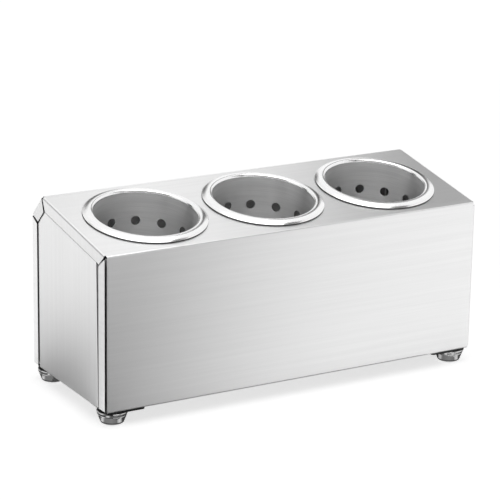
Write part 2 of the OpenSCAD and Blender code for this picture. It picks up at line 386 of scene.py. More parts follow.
def meet(before, corner, after, depth, next_depth):
    """Point that lies inside the two lines meeting at a corner, each by its own depth."""
    first, second = inward(before, corner), inward(corner, after)
    share = first.dot(second)
    step = (depth - next_depth * share) * first + (next_depth - depth * share) * second
    return corner + step / (1 - share ** 2)


def end_plate(side):
    """Outer face of one end plate: field, rounded edge, flange behind the strips and bottom fold."""
    mesh = bmesh.new()
    places = {}
    bottom = housing_low.z + bend

    def vertex(drop, y, z, stretch=0.0):
        made = mesh.verts.new((side * (half_l - drop), y, z))
        places[made] = (z - stretch, y)
        return made

    def ring(depth, gap_share, drop):
        points = [Vector((housing_low.y + depth + gap_share * field_bottom_gap, bottom))]
        depths = [depth + gap_share * gap for gap in field_gaps]
        for k in range(1, len(side_view) - 1):
            points.append(meet(*side_view[k - 1:k + 2], depths[k - 1], depths[k]))
        points.append(Vector((housing_high.y - depths[-1], bottom)))
        return [vertex(drop, *point) for point in points]

    def face(*corners):
        mesh.faces.new(corners if side < 0 else corners[::-1])

    steps = [math.pi / 2 * k / fold_steps for k in range(fold_steps + 1)]
    levels = [(strip_w + field_round * (1 - math.sin(a)), 1, field_drop + field_round * (1 - math.cos(a)))
              for a in steps]
    levels += [(strip_w, 1, flange_drop), (plate_edge, 0, flange_drop)]
    rings = [ring(*level) for level in levels]
    face(*rings[0])
    for inner, outer in zip(rings, rings[1:]):
        for k in range(len(inner) - 1):
            face(inner[k], outer[k], outer[k + 1], inner[k + 1])
    edge = [rings[0][0], rings[0][-1]]
    folds = [(field_drop + bend * (1 - math.cos(a)), bend * math.sin(a), bend * (a - math.sin(a)))
             for a in steps[1:]]
    folds.append((return_w, bend, bend * (math.pi / 2 - 1) + return_w - bend - field_drop))
    for drop, fall, stretch in folds:
        row = [vertex(drop, v.co.y, bottom - fall, stretch) for v in edge]
        face(row[0], edge[0], edge[1], row[1])
        edge = row
    map_sheet(mesh, places)
    return mesh


for side, name in ((-1, "left"), (1, "right")):
    plate = new_piece(f"{name}_end_panel", end_plate(side), brushed_steel, cut_edge_and_shade)
    thicken(plate, sheet)
    shade(plate)
    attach(plate, "holder")
    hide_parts(f"{name}_end_plate")

# Foot plates
# Square plates of 2 mm stainless in mill finish, welded under the returns at each corner of the housing.
# Each has rounded corners and a hole for the foot's screw.
corner_names = ("front_left", "front_right", "rear_right", "rear_left")
plate_corner = 3 * mm
corner_steps = 6
# How far the outer side of a plate lies inside its solid
plate_set_in = 2 * mm
screw_hole_d = 6.6 * mm
hole_steps = 32
mill_tones = ("#A8A8A8", "#C0C0C0")
# Mill finish is rolled, pickled and dull, with a faint cloudy bloom and no grain
mill_steel = mottled("mill finish stainless steel", mill_tones, speck=[9 * mm] * 3, detail=4.0,
                     glosses=(0.36, 0.52), relief=0.05, depth=0.02 * mm, Metallic=1.0)


def circle(centre_x, centre_y, radius, steps, start=0.0, turn=2 * math.pi):
    """Points of a circle, or of an arc with both its ends."""
    count = steps if turn == 2 * math.pi else steps + 1
    angles = [start + turn * k / steps for k in range(count)]
    return [Vector((centre_x + radius * math.cos(a), centre_y + radius * math.sin(a))) for a in angles]


def foot_axis(name):
    """Middle of the foot under one corner."""
    low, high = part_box(f"{name}_foot_pad")
    return (low + high) / 2


for name in corner_names:
    low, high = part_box(f"{name}_foot_plate")
    axis = foot_axis(name)
    outer = low if axis.x < 0 else high
    outer.x -= math.copysign(plate_set_in, axis.x)
    corners = ((high.x, high.y), (low.x, high.y), (low.x, low.y), (high.x, low.y))
    outline = []
    for k, (x, y) in enumerate(corners):
        x += plate_corner if x == low.x else -plate_corner
        y += plate_corner if y == low.y else -plate_corner
        outline += circle(x, y, plate_corner, corner_steps, k * math.pi / 2, math.pi / 2)
    screw_hole = circle(axis.x, axis.y, screw_hole_d / 2, hole_steps)
    mesh = bmesh.new()
    loops = [[mesh.verts.new((*p, low.z)) for p in points] for points in (outline, screw_hole)]
    fill_flat(mesh, loops, Vector((0, 0, -1)))
    plate = new_piece(f"{name}_corner_plate", mesh, mill_steel, cut_edge_and_shade)
    thicken(plate, high.z - low.z)
    shade(plate)
    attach(plate, "holder")
    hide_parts(f"{name}_foot_plate")

# Feet
# Turned stainless feet, tapered to the bottom with a shallow groove under the top, and polished bright.
# They are hollow below for the screw head and the pad, and a screw clamps each one to its plate.
foot_top_d = 31.4 * mm
foot_bottom_d = 21.6 * mm
foot_top_round = 1 * mm
foot_bottom_round = 2.3 * mm
groove_drop = 3.6 * mm
groove_w = 1.4 * mm
groove_depth = 0.5 * mm
foot_web = 4.5 * mm
head_well_d = 13 * mm
pad_seat_d = 17.2 * mm
pad_seat_h = 2 * mm
foot_sides = 72
polish_tones = ("#C0C0C0", "#D2D2D2")
# Turned and polished steel is near a mirror, with faint rings left by the lathe
polished_foot = mottled("polished turned steel", polish_tones, speck=(40 * mm, 0.5 * mm, 1), detail=2.0,
                        glosses=(0.04, 0.12), relief=0.1, depth=0.02 * mm, turned=True, Metallic=1.0)


def revolve(profile, sides, closed=False):
    """Turns a side view, given as radius and height, about the Z axis; its map runs round and along it."""
    mesh = bmesh.new()
    layer = mesh.loops.layers.uv.new("sheet")
    lengths = lengths_along(profile)
    rings = []
    for radius, height in profile:
        angles = [2 * math.pi * k / sides for k in range(sides)] if radius > 0 else [0.0]
        rings.append([mesh.verts.new((radius * math.cos(a), radius * math.sin(a), height)) for a in angles])
    widest = max(radius for radius, height in profile)
    count = len(profile)
    for near in range(count if closed else count - 1):
        far = (near + 1) % count
        end = lengths[far] if far else lengths[-1] + (profile[0] - profile[-1]).length
        for k in range(sides):
            corners = {}
            for ring, step, length in (
                (near, k, lengths[near]), (near, k + 1, lengths[near]), (far, k + 1, end), (far, k, end),
            ):
                vertex = rings[ring][step % len(rings[ring])]
                corners.setdefault(vertex, (2 * math.pi * widest * step / sides, length))
            for loop in mesh.faces.new(corners).loops:
                loop[layer].uv = corners[loop.vert]
    return mesh


def turned_piece(name, profile, closed=False):
    """Mesh of a piece that is turned about the axis of the foot under one corner."""
    mesh = revolve(profile, foot_sides, closed)
    bmesh.ops.recalc_face_normals(mesh, faces=mesh.faces)
    axis = foot_axis(name)
    bmesh.ops.translate(mesh, verts=mesh.verts, vec=(axis.x, axis.y, 0))
    return mesh


foot_low, foot_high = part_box("front_left_foot")
foot_rim = Vector((foot_top_d / 2, foot_high.z))
foot_toe = Vector((foot_bottom_d / 2, foot_low.z))
taper = (foot_toe - foot_rim).normalized()
groove_r = (groove_w ** 2 / 4 + groove_depth ** 2) / (2 * groove_depth)
groove_at = foot_rim + taper * groove_drop / -taper.y
groove_out = Vector((-taper.y, taper.x))
groove_centre = groove_at + groove_out * (groove_r - groove_depth)
groove_swing = math.asin(groove_w / 2 / groove_r)
groove_steps = 8
groove = []
for k in range(groove_steps + 1):
    swing = groove_swing * (1 - 2 * k / groove_steps)
    groove.append(groove_centre + Matrix.Rotation(-swing, 2) @ (-groove_r * groove_out))
web_z = foot_high.z - foot_web
foot_profile = [
    Vector((screw_hole_d / 2, foot_high.z)),
    *fold_points(Vector((0, foot_high.z)), foot_rim, foot_toe, foot_top_round),
    *groove,
    *fold_points(foot_rim, foot_toe, Vector((0, foot_low.z)), foot_bottom_round),
    Vector((pad_seat_d / 2, foot_low.z)), Vector((pad_seat_d / 2, foot_low.z + pad_seat_h)),
    Vector((head_well_d / 2, foot_low.z + pad_seat_h)), Vector((head_well_d / 2, web_z)),
    Vector((screw_hole_d / 2, web_z)),
]
for name in corner_names:
    mesh = turned_piece(name, foot_profile, closed=True)
    foot = new_piece(f"{name}_turned_foot", mesh, polished_foot)
    shade(foot)
    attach(foot, "holder")
    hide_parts(f"{name}_foot")

# Foot pads
# Moulded discs of black rubber, pressed into the seats under the feet, so that the holder doesn't slide.
# Each has a rounded edge and a dished middle.
pad_round = 0.4 * mm
pad_steps = 5
pad_dish_d = 8 * mm
pad_dish = 0.3 * mm
rubber_tones = ("#222223", "#323233")
# Moulded rubber is black and matt, with a fine eroded grain from the mould
pad_rubber = mottled("moulded black rubber", rubber_tones, speck=[0.5 * mm] * 3, detail=3.0,
                     glosses=(0.6, 0.85), relief=0.3, depth=0.05 * mm, IOR=1.52)
pad_low, pad_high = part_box("front_left_foot_pad")
pad_r = (pad_high.x - pad_low.x) / 2
pad_profile = [
    Vector((0, pad_high.z)), Vector((pad_r - pad_round, pad_high.z)),
    *circle(pad_r - pad_round, pad_high.z - pad_round, pad_round, pad_steps, math.pi / 2, -math.pi / 2)[1:],
    *circle(pad_r - pad_round, pad_low.z + pad_round, pad_round, pad_steps, 0, -math.pi / 2),
    Vector((pad_dish_d / 2, pad_low.z)), Vector((pad_dish_d / 2 - pad_dish, pad_low.z + pad_dish)),
    Vector((0, pad_low.z + pad_dish)),
]
for name in corner_names:
    pad = new_piece(f"{name}_rubber_pad", turned_piece(name, pad_profile), pad_rubber)
    shade(pad)
    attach(pad, "holder")
    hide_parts(f"{name}_foot_pad")

# Foot fasteners
# Zinc-plated steel screws with pan heads run up through the feet and the plates. A plain washer and a
# hexagon nut clamp each one inside the housing. One tree sets a copy of each at the four foot axes.
screw_d = 6 * mm
thread_pitch = 1 * mm
thread_depth = 0.3 * mm
head_d = 11 * mm
head_h = 4 * mm
head_round = 1.5 * mm
head_steps = 6
washer_d = 12 * mm
washer_hole_d = 6.6 * mm
washer_round = 0.2 * mm
washer_steps = 3
nut_flats = 10 * mm
nut_bore_d = 6.2 * mm
nut_chamfer = 0.6 * mm
nut_sides = 6
bore_sides = 24
fastener_sides = 36
zinc_tones = ("#9DA1A6", "#B5B9BE")


def new_tree(name, sizes):
    """Empty tree that takes a mesh, named sizes and a finish, and its inputs by name."""
    tree = bpy.data.node_groups.new(name, "GeometryNodeTree")
    for socket, kind in {"Geometry": "Geometry", **sizes, "Finish": "Material"}.items():
        tree.interface.new_socket(name=socket, in_out="INPUT", socket_type=f"NodeSocket{kind}")
    tree.interface.new_socket(name="Geometry", in_out="OUTPUT", socket_type="NodeSocketGeometry")
    return tree, add_node(tree, "NodeGroupInput").outputs


def copies_at_feet():
    """Tree that sets the object's mesh at the four corners of a rectangle."""
    tree, given = new_tree("copies at the feet", {"Span X": "Float", "Span Y": "Float"})
    axes = add_node(tree, "GeometryNodeMeshGrid", {
        "Size X": given["Span X"], "Size Y": given["Span Y"], "Vertices X": 2, "Vertices Y": 2,
    })
    copies = add_node(tree, "GeometryNodeInstanceOnPoints", {
        "Points": axes.outputs["Mesh"], "Instance": given["Geometry"],
    })
    real = add_node(tree, "GeometryNodeRealizeInstances", {"Geometry": copies.outputs["Instances"]})
    finish = add_node(tree, "GeometryNodeSetMaterial", {
        "Geometry": real.outputs["Geometry"], "Material": given["Finish"],
    })
    add_node(tree, "NodeGroupOutput", {"Geometry": finish.outputs["Geometry"]})
    return tree


def run_tree(piece, tree, **values):
    """Runs a tree on a piece, with its named inputs, and leaves a plain mesh."""
    modifier = piece.modifiers.new(tree.name, "NODES")
    modifier.node_group = tree
    for item in tree.interface.items_tree:
        name = item.name.replace(" ", "_").lower()
        if item.in_out == "INPUT" and name in values:
            modifier[item.identifier] = values[name]
    settle(piece)


def bridge(mesh, rings):
    """Joins closed rings of like counts of vertices with faces of four corners."""
    for near, far in zip(rings, rings[1:]):
        count = len(near)
        for k in range(count):
            mesh.faces.new((near[k], near[(k + 1) % count], far[(k + 1) % count], far[k]))


def bored_hexagon(low, high):
    """Hexagon nut with chamfered corners and a bore."""
    mesh = bmesh.new()
    corner_r = nut_flats / math.sqrt(3)
    levels = (
        (low, -nut_chamfer), (low + nut_chamfer / 2, 0), (high - nut_chamfer / 2, 0), (high, -nut_chamfer),
    )
    rings = [[mesh.verts.new((*p, z)) for p in circle(0, 0, corner_r + step, nut_sides)]
             for z, step in levels]
    bores = [[mesh.verts.new((*p, z)) for p in circle(0, 0, nut_bore_d / 2, bore_sides)]
             for z in (high, low)]
    bridge(mesh, rings)
    bridge(mesh, bores)
    fill_flat(mesh, [rings[0], bores[1]], Vector((0, 0, -1)))
    fill_flat(mesh, [rings[-1], bores[0]], Vector((0, 0, 1)))
    return mesh


screw_low, screw_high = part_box("foot_screws")
washer_low, washer_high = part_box("foot_washers")
nut_low, nut_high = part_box("foot_nuts")
head_top = screw_low.z + head_h
root_r = screw_d / 2 - thread_depth
screw_profile = [
    Vector((0, screw_low.z)),
    *circle(head_d / 2 - head_round, screw_low.z + head_round, head_round, head_steps,
            -math.pi / 2, math.pi / 2),
    Vector((head_d / 2, head_top)), Vector((root_r, head_top)),
]
# The thread is drawn as rings, since little more than its edge shows
thread_z = head_top + thread_pitch / 2
while thread_z < screw_high.z - thread_pitch:
    screw_profile += [Vector((screw_d / 2, thread_z)), Vector((root_r, thread_z + thread_pitch / 2))]
    thread_z += thread_pitch
screw_profile += [Vector((root_r, screw_high.z)), Vector((0, screw_high.z))]
washer_in, washer_out = washer_hole_d / 2 + washer_round, washer_d / 2 - washer_round
washer_down, washer_up = washer_low.z + washer_round, washer_high.z - washer_round
washer_corners = (
    (washer_in, washer_down, 270), (washer_in, washer_up, 180),
    (washer_out, washer_up, 90), (washer_out, washer_down, 0),
)
washer_profile = []
for x, z, start in washer_corners:
    washer_profile += circle(x, z, washer_round, washer_steps, math.radians(start), -math.pi / 2)
# Bright zinc is a thin bluish-grey metal coat, a little cloudy from handling
zinc = mottled("bright zinc plate", zinc_tones, speck=[2 * mm] * 3, detail=3.0,
               glosses=(0.22, 0.4), relief=0.05, depth=0.02 * mm, Metallic=1.0)
at_feet = copies_at_feet()
foot_span = foot_axis("rear_right") - foot_axis("front_left")
for name, mesh, node in (
    ("foot_screw_set", revolve(screw_profile, fastener_sides), "foot_screws"),
    ("foot_washer_set", revolve(washer_profile, fastener_sides, closed=True), "foot_washers"),
    ("foot_nut_set", bored_hexagon(nut_low.z, nut_high.z), "foot_nuts"),
):
    bmesh.ops.recalc_face_normals(mesh, faces=mesh.faces)
    piece = new_piece(name, mesh)
    run_tree(piece, at_feet, span_x=foot_span.x, span_y=foot_span.y, finish=zinc)
    shade(piece)
    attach(piece, "holder")
    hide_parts(node)

# Cutlery cylinders
# Deep-drawn stainless cylinders with punched drain holes, satin inside, and a wide rim that is polished and
# rolled under at its edge. Each one hangs by its rim in a hole of the top and lifts straight out.
rest_gap = 0.1 * mm
rim_d = 122 * mm
crest_d = 107 * mm
rim_h = 4.2 * mm
roll_r = 0.7 * mm
cup_d = 101 * mm
cup_floor_d = 97.4 * mm
cup_h = 137 * mm
cup_corner = 6 * mm
cup_wall = 0.8 * mm
drain_d = 9.5 * mm
drain_columns = 12
drain_rows = 5
# Depth of the first row of drain holes under the top panel, and the turn of all rows about the axis
drain_first = 28.5 * mm
drain_turn = math.radians(-3.5)
drain_pitch = 20 * mm
floor_holes = 6
floor_ring_d = 54 * mm
drain_sides = 32
cell_steps = 6
cup_sides = drain_columns * cell_steps
arc_steps = 10
# Vertices nearer to each other than this are merged
weld_gap = 0.02 * mm
satin_tones = ("#E4E4E4", "#F0F0F0")
rim_tones = ("#F2F2F2", "#F8F8F8")
# Satin steel is dull, with short streaks round the cylinder; the rim is buffed until they hardly show
satin_steel = grained_steel("satin drawn stainless steel", satin_tones, grain_l=40 * mm, grain_w=1.0 * mm,
                            glosses=(0.44, 0.36), stretch=0.85)
rim_steel = grained_steel("polished stainless rim", rim_tones, grain_l=60 * mm, grain_w=1.0 * mm,
                          glosses=(0.23, 0.17), stretch=0.3)


def perforated_wall():
    """Tree that lays a cell with one hole in staggered rows and rolls the sheet into a tapered wall."""
    tree, given = new_tree("perforated wall", {
        "Columns": "Int", "Rows": "Int", "Cell Width": "Float", "Row Pitch": "Float", "First Row": "Float",
        "Mouth Radius": "Float", "Taper": "Float",
    })
    columns, cell_width = given["Columns"], given["Cell Width"]

    # Each cell's place on the flat sheet: the rows run down, and each one starts half a cell further on
    index = add_node(tree, "GeometryNodeInputIndex").outputs["Index"]
    count = add_node(tree, "FunctionNodeIntegerMath", {0: columns, 1: given["Rows"]}, operation="MULTIPLY")
    row = add_node(tree, "FunctionNodeIntegerMath", {0: index, 1: columns}, operation="DIVIDE")
    column = add_node(tree, "FunctionNodeIntegerMath", {0: index, 1: columns}, operation="MODULO")
    stagger = add_node(tree, "ShaderNodeMath", {
        0: row.outputs[0], 1: 0.5, 2: 0.5,
    }, operation="MULTIPLY_ADD")
    step = add_node(tree, "ShaderNodeMath", {0: column.outputs[0], 1: stagger.outputs[0]}, operation="ADD")
    across = add_node(tree, "ShaderNodeMath", {0: step.outputs[0], 1: cell_width}, operation="MULTIPLY")
    depth = add_node(tree, "ShaderNodeMath", {
        0: row.outputs[0], 1: given["Row Pitch"], 2: given["First Row"],
    }, operation="MULTIPLY_ADD")
    down = add_node(tree, "ShaderNodeMath", {0: depth.outputs[0], 1: -1.0}, operation="MULTIPLY")
    centre = add_node(tree, "ShaderNodeCombineXYZ", {"X": across.outputs[0], "Y": down.outputs[0]})
    points = add_node(tree, "GeometryNodePoints", {
        "Count": count.outputs[0], "Position": centre.outputs["Vector"],
    })
    cells = add_node(tree, "GeometryNodeInstanceOnPoints", {
        "Points": points.outputs["Points"], "Instance": given["Geometry"],
    })
    real = add_node(tree, "GeometryNodeRealizeInstances", {"Geometry": cells.outputs["Instances"]})

    # The sheet is rolled up: the way across turns round the axis, and the radius shrinks on the way down
    place = add_node(tree, "GeometryNodeInputPosition").outputs["Position"]
    flat = add_node(tree, "ShaderNodeSeparateXYZ", {"Vector": place}).outputs
    girth = add_node(tree, "ShaderNodeMath", {0: cell_width, 1: columns}, operation="MULTIPLY")
    share = add_node(tree, "ShaderNodeMath", {0: flat["X"], 1: girth.outputs[0]}, operation="DIVIDE")
    turn = add_node(tree, "ShaderNodeMath", {0: share.outputs[0], 1: 2 * math.pi}, operation="MULTIPLY")
    radius = add_node(tree, "ShaderNodeMath", {
        0: flat["Y"], 1: given["Taper"], 2: given["Mouth Radius"],
    }, operation="MULTIPLY_ADD")
    upright = add_node(tree, "ShaderNodeCombineXYZ", {"X": radius.outputs[0], "Z": flat["Y"]})
    rolled = add_node(tree, "ShaderNodeVectorRotate", {
        "Vector": upright.outputs["Vector"], "Angle": turn.outputs[0],
    }, rotation_type="Z_AXIS")
    wall = add_node(tree, "GeometryNodeSetPosition", {
        "Geometry": real.outputs["Geometry"], "Position": rolled.outputs["Vector"],
    })
    closed = add_node(tree, "GeometryNodeMergeByDistance", {
        "Geometry": wall.outputs["Geometry"], "Distance": weld_gap / 2,
    })
    finish = add_node(tree, "GeometryNodeSetMaterial", {
        "Geometry": closed.outputs["Geometry"], "Material": given["Finish"],
    })
    add_node(tree, "NodeGroupOutput", {"Geometry": finish.outputs["Geometry"]})
    return tree


def wall_cell(width, height):
    """One rectangle of the wall's sheet round a drain hole, in rings from the hole to the edge."""
    mesh = bmesh.new()
    half = cell_steps / 2
    edge = [(k - half, -half) for k in range(cell_steps)] + [(half, k - half) for k in range(cell_steps)]
    edge += [(-x, -y) for x, y in edge]
    edge = [Vector((x / cell_steps * width, y / cell_steps * height)) for x, y in edge]
    hole = []
    for point in edge:
        way = Vector((point.x / width, point.y / height)).normalized()
        hole.append(way * drain_d / 2)
    middle = [(a + 2 * b) / 3 for a, b in zip(edge, hole)]
    rings = [[mesh.verts.new((*p, 0)) for p in ring] for ring in (edge, middle, hole)]
    bridge(mesh, rings)
    return mesh


cup_r, crest_r, rim_r, floor_r = cup_d / 2, crest_d / 2, rim_d / 2, cup_floor_d / 2
flare_r = crest_r - cup_r
flare_z = rim_h - flare_r
floor_z = rim_h - cup_h + cup_wall
wall_foot_z = floor_z + cup_corner
taper_rate = (cup_r - floor_r) / (flare_z - wall_foot_z)
mouth_r = cup_r - flare_z * taper_rate
# The flange is an arc that falls from the crest to the roll at the edge
flange_reach = rim_r - roll_r - crest_r
flange_r = (flange_reach ** 2 + (rim_h - roll_r) ** 2 - roll_r ** 2) / (2 * (rim_h - 2 * roll_r))
flange_end = math.atan2(roll_r - rim_h + flange_r, flange_reach)
roll_start = -0.75 * math.pi
drain_top = -drain_first + drain_pitch / 2
drain_bottom = -drain_first - drain_pitch * (drain_rows - 0.5)
upper_profile = [
    *circle(rim_r - roll_r, roll_r, roll_r, 2 * arc_steps, roll_start, flange_end - roll_start),
    *circle(crest_r, rim_h - flange_r, flange_r, arc_steps, flange_end, math.pi / 2 - flange_end)[1:],
    *circle(crest_r, flare_z, flare_r, arc_steps, math.pi / 2, math.pi / 2)[1:],
    Vector((mouth_r + drain_top * taper_rate, drain_top)),
]
lower_profile = [
    Vector((mouth_r + drain_bottom * taper_rate, drain_bottom)),
    *circle(floor_r - cup_corner, wall_foot_z, cup_corner, arc_steps, 0, -math.pi / 2),
]
wall_tree = perforated_wall()
cell_w = math.pi * cup_d / drain_columns
# The finishes of a cylinder, each followed by that of its cut edges; the first edge finish is also painted
# under the roll as shade
cylinder_finishes = (rim_steel, cut_edge_and_shade, satin_steel, cut_edge_and_shade)
rim_finish, painted_roll_shade, inside_finish = 0, 1, 2


def drawn_cylinder(name):
    """Inner face of one cylinder in its own frame: rim, perforated wall, corner and punched floor."""
    wall = new_piece(f"{name}_wall", wall_cell(cell_w, drain_pitch))
    run_tree(wall, wall_tree, columns=drain_columns, rows=drain_rows, cell_width=cell_w,
             row_pitch=drain_pitch, first_row=drain_first, mouth_radius=mouth_r, taper=taper_rate,
             finish=satin_steel)
    mesh = bmesh.new()
    for profile in (upper_profile, lower_profile):
        part = revolve(profile, cup_sides)
        data = bpy.data.meshes.new("part")
        part.to_mesh(data)
        part.free()
        mesh.from_mesh(data)
        bpy.data.meshes.remove(data)
    mesh.from_mesh(wall.data)
    bpy.data.objects.remove(wall)
    bmesh.ops.remove_doubles(mesh, verts=mesh.verts, dist=weld_gap)
    mesh.transform(Matrix.Rotation(drain_turn, 4, "Z"))
    floor_ring = [v for v in mesh.verts if abs(v.co.z - floor_z) < weld_gap / 20]
    floor_ring.sort(key=lambda v: math.atan2(v.co.y, v.co.x))
    centres = [Vector((0, 0))] + circle(0, 0, floor_ring_d / 2, floor_holes)
    drains = [[mesh.verts.new((*p, floor_z)) for p in circle(*centre, drain_d / 2, drain_sides)]
              for centre in centres]
    fill_flat(mesh, [floor_ring, *drains], Vector((0, 0, 1)))
    # The visible side is the one that faces up at the crest of the rim
    bmesh.ops.recalc_face_normals(mesh, faces=mesh.faces)
    mesh.faces.ensure_lookup_table()
    probe = max(mesh.faces, key=lambda f: f.calc_center_median().z)
    if probe.normal.z < 0:
        bmesh.ops.reverse_faces(mesh, faces=mesh.faces)
    # The grain runs round the cylinder, and the underside of the roll is painted dark with the edge finish,
    # as shade where the roll meets the top
    layer = mesh.loops.layers.uv["sheet"]
    for face in mesh.faces:
        middle = face.calc_center_median()
        facing = math.atan2(middle.y, middle.x)
        face.material_index = rim_finish if middle.z > flare_z else inside_finish
        # Painted shade: the roll's underside near the top takes the dark edge finish, for the shadow where
        # it rests
        if math.hypot(middle.x, middle.y) > rim_r - 2 * roll_r and middle.z < 1.5 * roll_r:
            face.material_index = painted_roll_shade
        for loop in face.loops:
            x, y, z = loop.vert.co
            turn = (math.atan2(y, x) - facing + math.pi) % (2 * math.pi) - math.pi
            loop[layer].uv = ((facing + turn) * cup_r, z - math.hypot(x, y))
    mesh.transform(Matrix.Translation((0, 0, rest_gap)))
    return mesh


for x, name in zip(cylinder_x, ("left", "middle", "right")):
    mesh = drawn_cylinder(name)
    mesh.transform(Matrix.Translation((x, mouth_y, mouth_z)) @ Matrix.Rotation(top_slope, 4, "X"))
    cylinder = new_piece(f"{name}_cutlery_cylinder", mesh, *cylinder_finishes)
    thicken(cylinder, cup_wall)
    shade(cylinder)
    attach(cylinder, f"{name}_cup")
    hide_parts(f"{name}_cylinder")

# Studio
# White paper on the floor of a white room, one large softbox overhead, and a camera where the photograph
# was taken from. Black nets round the holder shade what its steel reflects; only reflections show them.
floor_size = 14.0
paper_colour = "#DDDDDD"
white = "#FFFFFF"
net_colour = "#080808"
# The paper's glow where it is seen grows from a near to a far distance from the holder
glow_near, glow_far = 0.4, 1.8
glow_least, glow_most = 0.7, 0.86
room_strength = 0.22
seen_strength = 1.0
lamp_place = (-0.2, -0.35, 1.6)
lamp_size = 1.6
lamp_power = 9.6
camera_azimuth = math.radians(-30.188)
camera_elevation = math.radians(17.022)
camera_roll = math.radians(1.01)
camera_aim = Vector((-69.5, -107.5, 165.9)) * mm
camera_distance = 2193.3 * mm
focal_pixels = 2330.74
image_pixels = 500
sensor_w = 36.0


def background_rays(tree):
    """Share of rays that show the white background: the camera's own, and those off metal or in glass."""
    path = add_node(tree, "ShaderNodeLightPath").outputs
    share = path["Is Camera Ray"]
    for name in ("Is Glossy Ray", "Is Transmission Ray"):
        both = add_node(tree, "ShaderNodeMath", {0: share, 1: path[name]}, operation="MAXIMUM")
        share = both.outputs["Value"]
    return share


def floor_paper():
    """White paper: where it is seen it is lifted to white and keeps the shadow; from below it is clear."""
    material, tree = new_material("white studio paper")
    paper = add_node(tree, "ShaderNodeBsdfDiffuse", {"Color": linear(paper_colour)}).outputs["BSDF"]
    place = add_node(tree, "ShaderNodeTexCoord").outputs["Object"]
    reach = add_node(tree, "ShaderNodeVectorMath", {0: place}, operation="LENGTH").outputs["Value"]
    strength = add_node(tree, "ShaderNodeMapRange", {
        "Value": reach, "From Min": glow_near, "From Max": glow_far,
        "To Min": glow_least, "To Max": glow_most,
    }).outputs["Result"]
    glow = add_node(tree, "ShaderNodeEmission", {"Color": linear(white), "Strength": strength})
    lifted = add_node(tree, "ShaderNodeAddShader", {0: paper, 1: glow.outputs["Emission"]})
    seen = add_node(tree, "ShaderNodeMixShader", {
        0: background_rays(tree), 1: paper, 2: lifted.outputs["Shader"],
    })
    below = add_node(tree, "ShaderNodeNewGeometry").outputs["Backfacing"]
    clear = add_node(tree, "ShaderNodeBsdfTransparent").outputs["BSDF"]
    sides = add_node(tree, "ShaderNodeMixShader", {0: below, 1: seen.outputs["Shader"], 2: clear})
    add_node(tree, "ShaderNodeOutputMaterial", {"Surface": sides.outputs["Shader"]})
    return material


mesh = bmesh.new()
corners = [(-1, -1), (1, -1), (1, 1), (-1, 1)]
mesh.faces.new([mesh.verts.new((x * floor_size / 2, y * floor_size / 2, 0)) for x, y in corners])
floor = new_piece("studio_floor", mesh, floor_paper())

world = bpy.data.worlds.new("studio")
world.use_nodes = True
tree = world.node_tree
tree.nodes.clear()
room = add_node(tree, "ShaderNodeBackground", {"Color": linear(white), "Strength": room_strength})
seen = add_node(tree, "ShaderNodeBackground", {"Color": linear(white), "Strength": seen_strength})
sky = add_node(tree, "ShaderNodeMixShader", {
    0: background_rays(tree), 1: room.outputs["Background"], 2: seen.outputs["Background"],
})
add_node(tree, "ShaderNodeOutputWorld", {"Surface": sky.outputs["Shader"]})
bpy.context.scene.world = world

# The lamp is left unturned, so it shines straight down
lamp = bpy.data.lights.new("overhead_softbox", "AREA")
lamp.shape = "SQUARE"
lamp.size = lamp_size
lamp.energy = lamp_power
softbox = bpy.data.objects.new("overhead_softbox", lamp)
softbox.location = lamp_place
bpy.context.scene.collection.objects.link(softbox)


def black_net():
    """Black net, more or less dense: a bright surface that faces it turns darker."""
    material, tree = new_material("black studio net")
    layer = add_node(tree, "ShaderNodeUVMap", uv_map="density").outputs["UV"]
    density = add_node(tree, "ShaderNodeSeparateXYZ", {"Vector": layer}).outputs["X"]
    cloth = add_node(tree, "ShaderNodeBsdfDiffuse", {"Color": linear(net_colour)}).outputs["BSDF"]
    clear = add_node(tree, "ShaderNodeBsdfTransparent").outputs["BSDF"]
    net = add_node(tree, "ShaderNodeMixShader", {0: density, 1: clear, 2: cloth}).outputs["Shader"]
    add_node(tree, "ShaderNodeOutputMaterial", {"Surface": net})
    return material


net_material = black_net()


def hang_net(name, rows):
    """Net stretched over rows of places, each with its density; it shows in reflections only."""
    mesh = bmesh.new()
    layer = mesh.loops.layers.uv.new("density")
    grid = [[(mesh.verts.new(place), density) for place, density in row] for row in rows]
    for upper, lower in zip(grid, grid[1:]):
        for k in range(len(upper) - 1):
            corners = (upper[k], upper[k + 1], lower[k + 1], lower[k])
            face = mesh.faces.new([vertex for vertex, density in corners])
            for loop, (vertex, density) in zip(face.loops, corners):
                loop[layer].uv = (density, 0)
    net = new_piece(name, mesh, net_material)
    net.visible_camera = False
    net.visible_diffuse = False
    net.visible_shadow = False


def graded(fade, at):
    """Density at a place, on the straight line between two steps of a fade."""
    for (a, low), (b, high) in zip(fade, fade[1:]):
        if a <= at <= b:
            return low + (high - low) * (at - a) / (b - a)


def beside(x, y, reach, turn):
    """Place at a reach from an upright axis, at a turn in degrees from straight in front of it."""
    return x + reach * math.sin(math.radians(turn)), y - reach * math.cos(math.radians(turn))


# Height of the nets on the floor, and the way over it that the front shows to the camera; the left end
# shows the opposite way
lay_z = 0.002
front_y = housing_low.y
front_way = Vector((-math.sin(camera_azimuth), -math.cos(camera_azimuth), 0))

# Before the front: the density by x, then rows of reach, height and extra density
front_fade = (
    (-0.34, 0.68), (-0.21, 0.64), (-0.17, 0.5), (-0.1, 0.31), (-0.02, 0.145), (0.06, 0.055), (0.14, 0.02),
    (0.22, 0.0),
)
# The extra density in the nearest row is painted shade, for the holder's shadow along the foot of its front
front_rows = ((0.002, lay_z, 0.12), (0.12, lay_z, 0.02), (1.6, lay_z, 0.0), (1.6, 0.7, 0.0))
hang_net("front_net", [
    [(Vector((x, front_y, z)) + reach * front_way, density + extra) for x, density in front_fade]
    for reach, z, extra in front_rows
])

